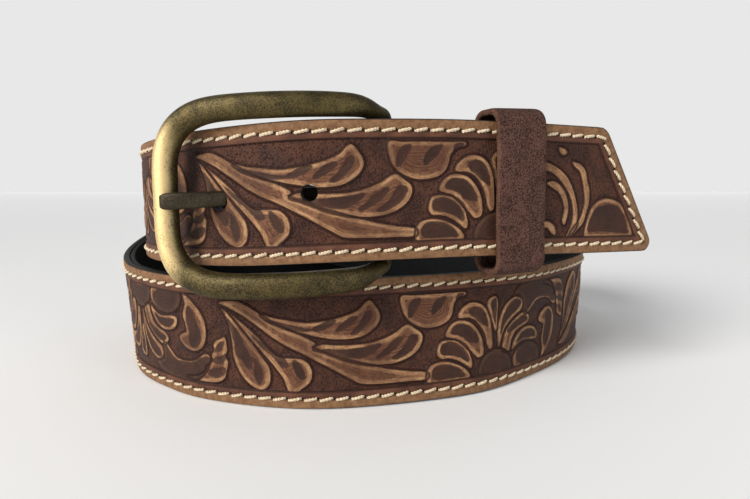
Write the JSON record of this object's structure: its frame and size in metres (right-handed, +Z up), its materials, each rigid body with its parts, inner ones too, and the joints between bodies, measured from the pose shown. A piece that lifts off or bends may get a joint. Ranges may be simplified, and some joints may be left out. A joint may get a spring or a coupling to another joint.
{
  "type": "western leather belt",
  "caption": "Tooled brown leather western belt with a brass heel-bar buckle, fastened and resting as a coil on its edge.",
  "frame": {"origin": "middle of the belt's box on the table, between the two turns' edges", "axes": "+X towards the strap's tip as seen from the front, -Y towards the viewer of the buckle, +Z up from the table"},
  "size_m": [0.1922, 0.159, 0.0896],
  "materials": {
    "tooled_leather": "tooled, stained and waxed",
    "lining_leather": "smooth black lining",
    "keeper_leather": "plain matte",
    "antique_brass": "antiqued, rubbed bright on the left bar",
    "dark_brass": "darkened"
  },
  "bodies": {
    "root": {"strap_leather": "tooled_leather", "strap_lining": "lining_leather", "buckle_frame": "antique_brass", "buckle_prong": "dark_brass", "keeper": "keeper_leather"}
  },
  "joints": []
}
